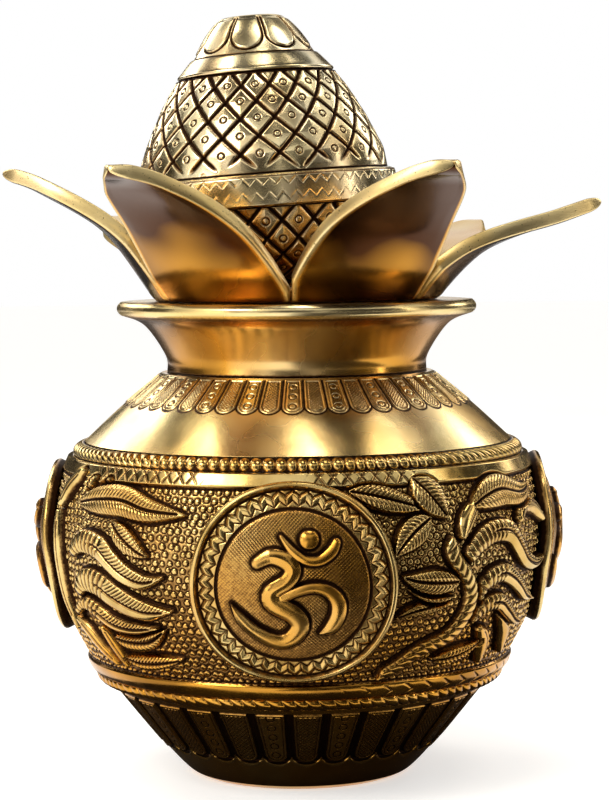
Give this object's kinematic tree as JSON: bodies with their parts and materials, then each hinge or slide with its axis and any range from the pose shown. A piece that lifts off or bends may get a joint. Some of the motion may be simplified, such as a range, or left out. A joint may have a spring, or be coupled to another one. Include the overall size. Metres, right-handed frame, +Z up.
{
  "type": "kalash",
  "caption": "Brass ritual water pot with carved belly, round plaques, a lift-off crown of mango leaves and a lift-off coconut",
  "frame": {"origin": "centre of the flat face under the base bowl, on the surface that the pot stands on", "axes": "+Z up along the pot's axis; -Y towards the front, the side with the front plaque seen in the picture; +X to the right of that view"},
  "size_m": [0.2204, 0.2032, 0.2805],
  "materials": {
    "carved_brass": "carved and punched brass with dark red-brown patina in the recesses and rubbed highlights",
    "polished_brass": "polished brass, slightly warm, with fine scratches",
    "leaf_brass": "mirror-smooth brass leaves with small casting pits along the edges",
    "coconut_brass": "brass with cut lattice grooves and punched rings, darker in the grooves"
  },
  "bodies": {
    "pot": {"base_bowl": "carved_brass", "lower_rope_ring": "carved_brass", "belly_shell": "carved_brass", "plaque_front": "carved_brass", "plaque_right": "carved_brass", "plaque_back": "carved_brass", "plaque_left": "carved_brass", "upper_rope_ring": "carved_brass", "shoulder_shell": "polished_brass", "neck_and_lip": "polished_brass"},
    "crown": {"leaf_cup": "leaf_brass", "locating_collar": "polished_brass", "leaf_front_left": "leaf_brass", "leaf_front_right": "leaf_brass", "leaf_left": "leaf_brass", "leaf_right": "leaf_brass", "leaf_back_left": "leaf_brass", "leaf_back_right": "leaf_brass", "leaf_back": "leaf_brass"},
    "coconut": {"coconut_lower_shell": "coconut_brass", "coconut_belt": "coconut_brass", "coconut_dome": "coconut_brass", "coconut_ring": "coconut_brass", "coconut_tip": "coconut_brass"}
  },
  "joints": [
    {"name": "crown_lift", "type": "slide", "parent": "pot", "child": "crown", "axis": [0, 0, 1], "range_m": [0, 0.04]},
    {"name": "coconut_lift", "type": "slide", "parent": "crown", "child": "coconut", "axis": [0, 0, 1], "range_m": [0, 0.07]}
  ]
}
